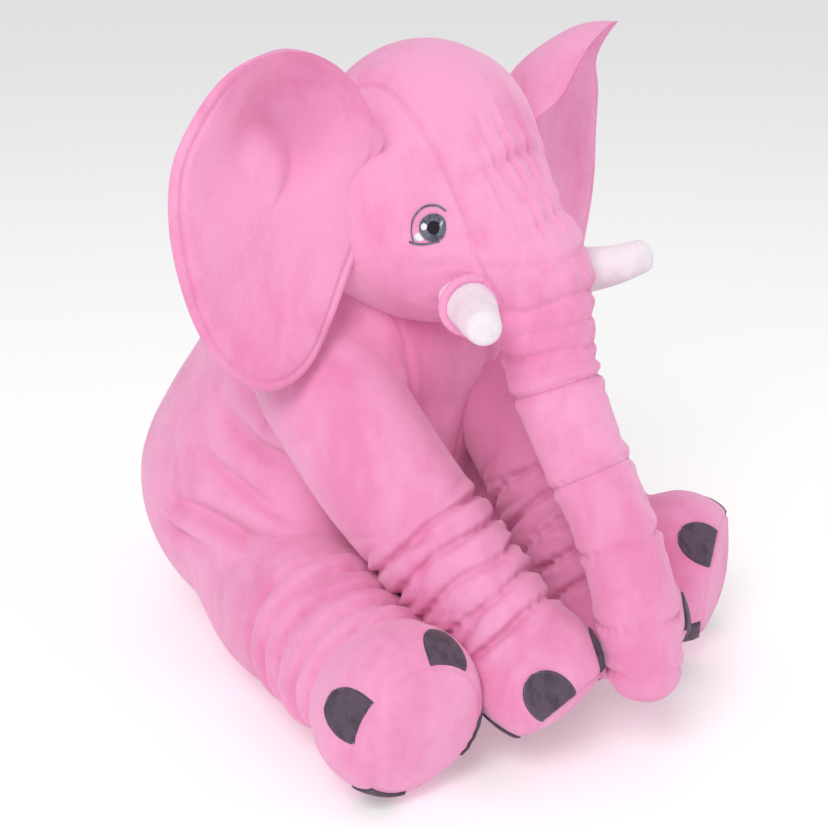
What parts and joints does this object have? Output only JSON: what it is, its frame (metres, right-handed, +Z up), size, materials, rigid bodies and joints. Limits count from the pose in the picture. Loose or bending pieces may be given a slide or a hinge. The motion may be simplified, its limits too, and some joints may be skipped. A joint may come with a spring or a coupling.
{
  "type": "stuffed elephant",
  "caption": "Sitting stuffed elephant with padded ears, a hanging jointed trunk, short tusks, ring-gathered legs and felt toenails.",
  "frame": {"origin": "centre of the flat patch under the rump that the elephant sits on", "axes": "+Z up; the elephant faces -Y; +X is its left side"},
  "size_m": [0.5394, 0.6892, 0.623],
  "materials": {
    "pink_plush": "short pile plush",
    "sole_plush": "short pile plush",
    "tuft_pile": "long pile",
    "tusk_plush": "short velour",
    "toenail_felt": "flat felt with stitching",
    "eye_thread": "satin stitch embroidery",
    "wadding": "polyester fibre",
    "elastic": "covered elastic cord"
  },
  "bodies": {
    "torso": {"torso_cover_left": "pink_plush", "torso_cover_right": "pink_plush", "belly_panel": "pink_plush", "torso_filling": "wadding"},
    "head": {"forehead_gusset": "pink_plush", "cheek_left": "pink_plush", "cheek_right": "pink_plush", "chin_panel": "pink_plush", "head_filling": "wadding", "eye_left": "eye_thread", "tusk_cover_left": "tusk_plush", "tusk_filling_left": "wadding", "tusk_collar_left": "pink_plush", "eye_right": "eye_thread", "tusk_cover_right": "tusk_plush", "tusk_filling_right": "wadding", "tusk_collar_right": "pink_plush"},
    "ear_left": {"ear_front_left": "pink_plush", "ear_back_left": "pink_plush", "ear_padding_left": "wadding"},
    "ear_right": {"ear_front_right": "pink_plush", "ear_back_right": "pink_plush", "ear_padding_right": "wadding"},
    "trunk_upper": {"trunk_upper_cover": "pink_plush", "trunk_upper_filling": "wadding", "trunk_upper_elastics": "elastic"},
    "trunk_middle": {"trunk_middle_cover": "pink_plush", "trunk_middle_filling": "wadding", "trunk_middle_elastics": "elastic"},
    "trunk_tip": {"trunk_tip_cover": "pink_plush", "trunk_tip_filling": "wadding", "trunk_tip_elastics": "elastic"},
    "front_leg_left": {"front_leg_left_cover": "pink_plush", "front_leg_left_filling": "wadding", "front_leg_left_elastics": "elastic", "front_leg_left_sole": "sole_plush", "front_leg_left_toenails": "toenail_felt"},
    "front_leg_right": {"front_leg_right_cover": "pink_plush", "front_leg_right_filling": "wadding", "front_leg_right_elastics": "elastic", "front_leg_right_sole": "sole_plush", "front_leg_right_toenails": "toenail_felt"},
    "hind_leg_left": {"hind_leg_left_cover": "pink_plush", "hind_leg_left_filling": "wadding", "hind_leg_left_elastics": "elastic", "hind_leg_left_sole": "sole_plush", "hind_leg_left_toenails": "toenail_felt"},
    "hind_leg_right": {"hind_leg_right_cover": "pink_plush", "hind_leg_right_filling": "wadding", "hind_leg_right_elastics": "elastic", "hind_leg_right_sole": "sole_plush", "hind_leg_right_toenails": "toenail_felt"},
    "tail": {"tail_cord": "pink_plush", "tail_tuft": "tuft_pile"}
  },
  "joints": [
    {"name": "neck_nod", "type": "hinge", "parent": "torso", "child": "head", "pos_m": [0, -0.15, 0.455], "axis": [-1, 0, 0], "range_deg": [0, 15], "stiffness_Nm_per_rad": 14},
    {"name": "ear_left_flap", "type": "hinge", "parent": "head", "child": "ear_left", "pos_m": [0.12, -0.15, 0.48], "axis": [0, 0, -1], "range_deg": [-20, 30], "stiffness_Nm_per_rad": 0.8},
    {"name": "ear_right_flap", "type": "hinge", "parent": "head", "child": "ear_right", "pos_m": [-0.12, -0.15, 0.48], "axis": [0, 0, 1], "range_deg": [-20, 30], "stiffness_Nm_per_rad": 0.8},
    {"name": "trunk_lift", "type": "hinge", "parent": "head", "child": "trunk_upper", "pos_m": [0, -0.288, 0.388], "axis": [-1, 0, 0], "range_deg": [0, 30], "stiffness_Nm_per_rad": 2},
    {"name": "trunk_bend", "type": "hinge", "parent": "trunk_upper", "child": "trunk_middle", "pos_m": [0, -0.328, 0.285], "axis": [-1, 0, 0], "range_deg": [0, 28], "stiffness_Nm_per_rad": 1.2},
    {"name": "trunk_curl", "type": "hinge", "parent": "trunk_middle", "child": "trunk_tip", "pos_m": [0, -0.377, 0.207], "axis": [-1, 0, 0], "range_deg": [0, 32], "stiffness_Nm_per_rad": 0.8},
    {"name": "front_leg_left_swing", "type": "hinge", "parent": "torso", "child": "front_leg_left", "pos_m": [0.1, -0.134, 0.296], "axis": [-0.8127, -0.3276, 0.4818], "range_deg": [0, 30], "stiffness_Nm_per_rad": 6},
    {"name": "front_leg_right_swing", "type": "hinge", "parent": "torso", "child": "front_leg_right", "pos_m": [-0.1, -0.134, 0.296], "axis": [-0.8127, 0.3276, -0.4818], "range_deg": [0, 30], "stiffness_Nm_per_rad": 6},
    {"name": "hind_leg_left_spread", "type": "hinge", "parent": "torso", "child": "hind_leg_left", "pos_m": [0.112, -0.094, 0.085], "axis": [0, 0, 1], "range_deg": [0, 24], "stiffness_Nm_per_rad": 8},
    {"name": "hind_leg_right_spread", "type": "hinge", "parent": "torso", "child": "hind_leg_right", "pos_m": [-0.112, -0.094, 0.085], "axis": [0, 0, -1], "range_deg": [0, 24], "stiffness_Nm_per_rad": 8},
    {"name": "tail_swing", "type": "hinge", "parent": "torso", "child": "tail", "pos_m": [0, 0.168, 0.12], "axis": [0, 0.8, 0.6], "range_deg": [-25, 25], "stiffness_Nm_per_rad": 0.3}
  ]
}
